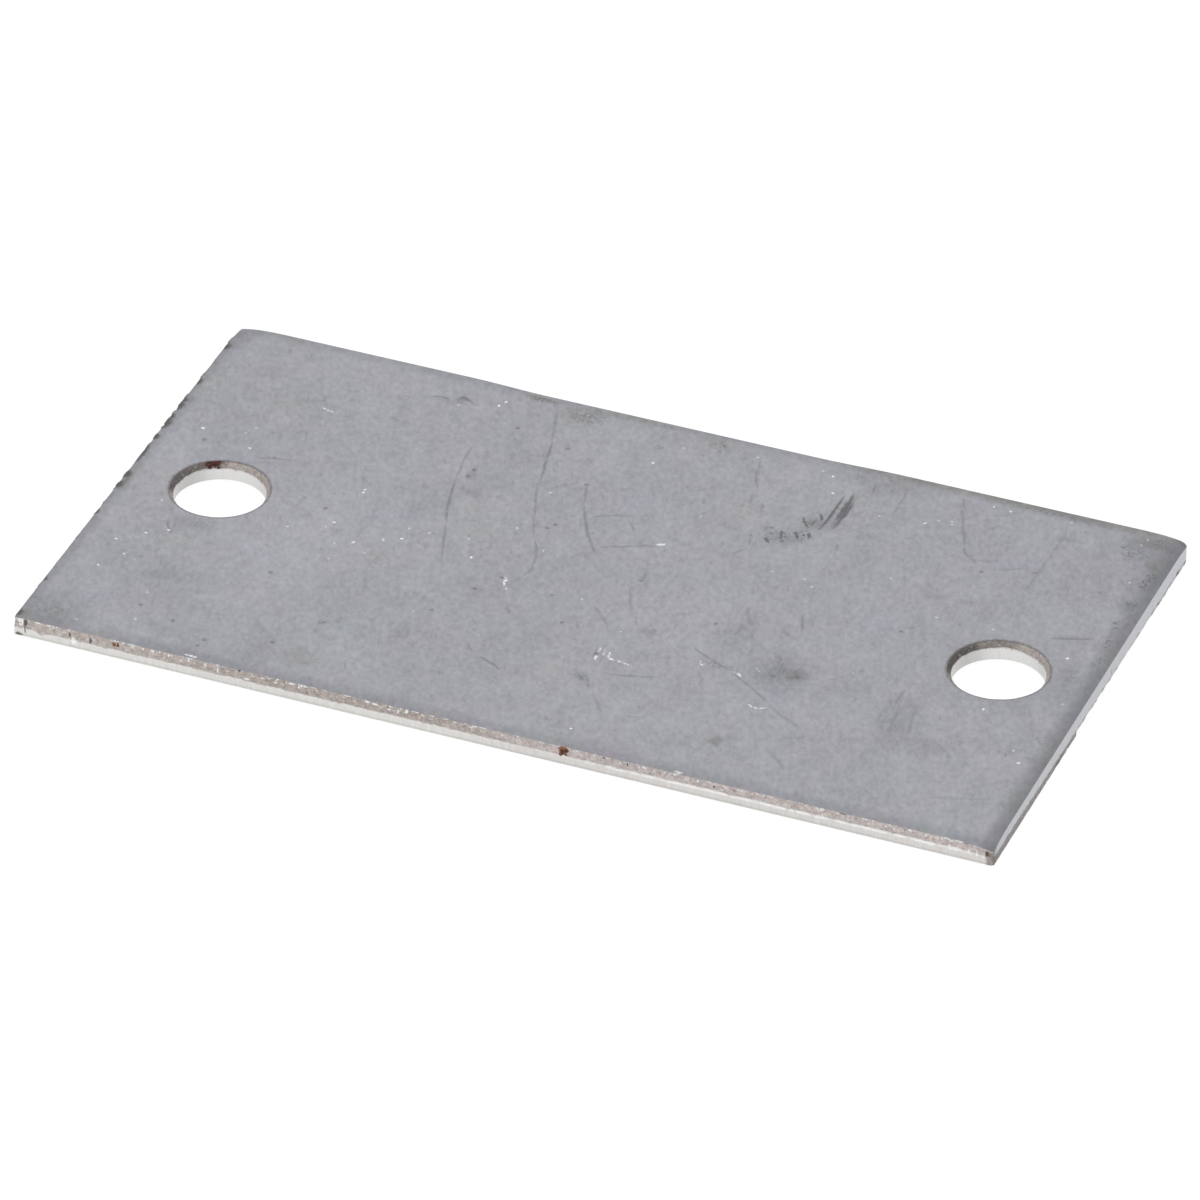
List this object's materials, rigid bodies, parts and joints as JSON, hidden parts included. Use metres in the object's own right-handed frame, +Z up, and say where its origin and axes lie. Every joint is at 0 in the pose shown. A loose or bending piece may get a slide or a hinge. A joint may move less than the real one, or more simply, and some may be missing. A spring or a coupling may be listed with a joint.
{
  "type": "rectangular cover plate",
  "caption": "Flat rectangular sheet-steel cover plate with sheared edges and round punched fixing holes on its long centre line.",
  "frame": {"origin": "centre of the plate's underside, on the surface it lies on", "axes": "+X along the length, +Y across the width, +Z up through the thickness, towards the face that the holes were punched out of"},
  "size_m": [0.099, 0.055, 0.002],
  "materials": {
    "sheet_steel": "mill finish, dull grey and scuffed, with bright sheared edges and small rust spots"
  },
  "bodies": {
    "root": {"cover_plate": "sheet_steel"}
  },
  "joints": []
}
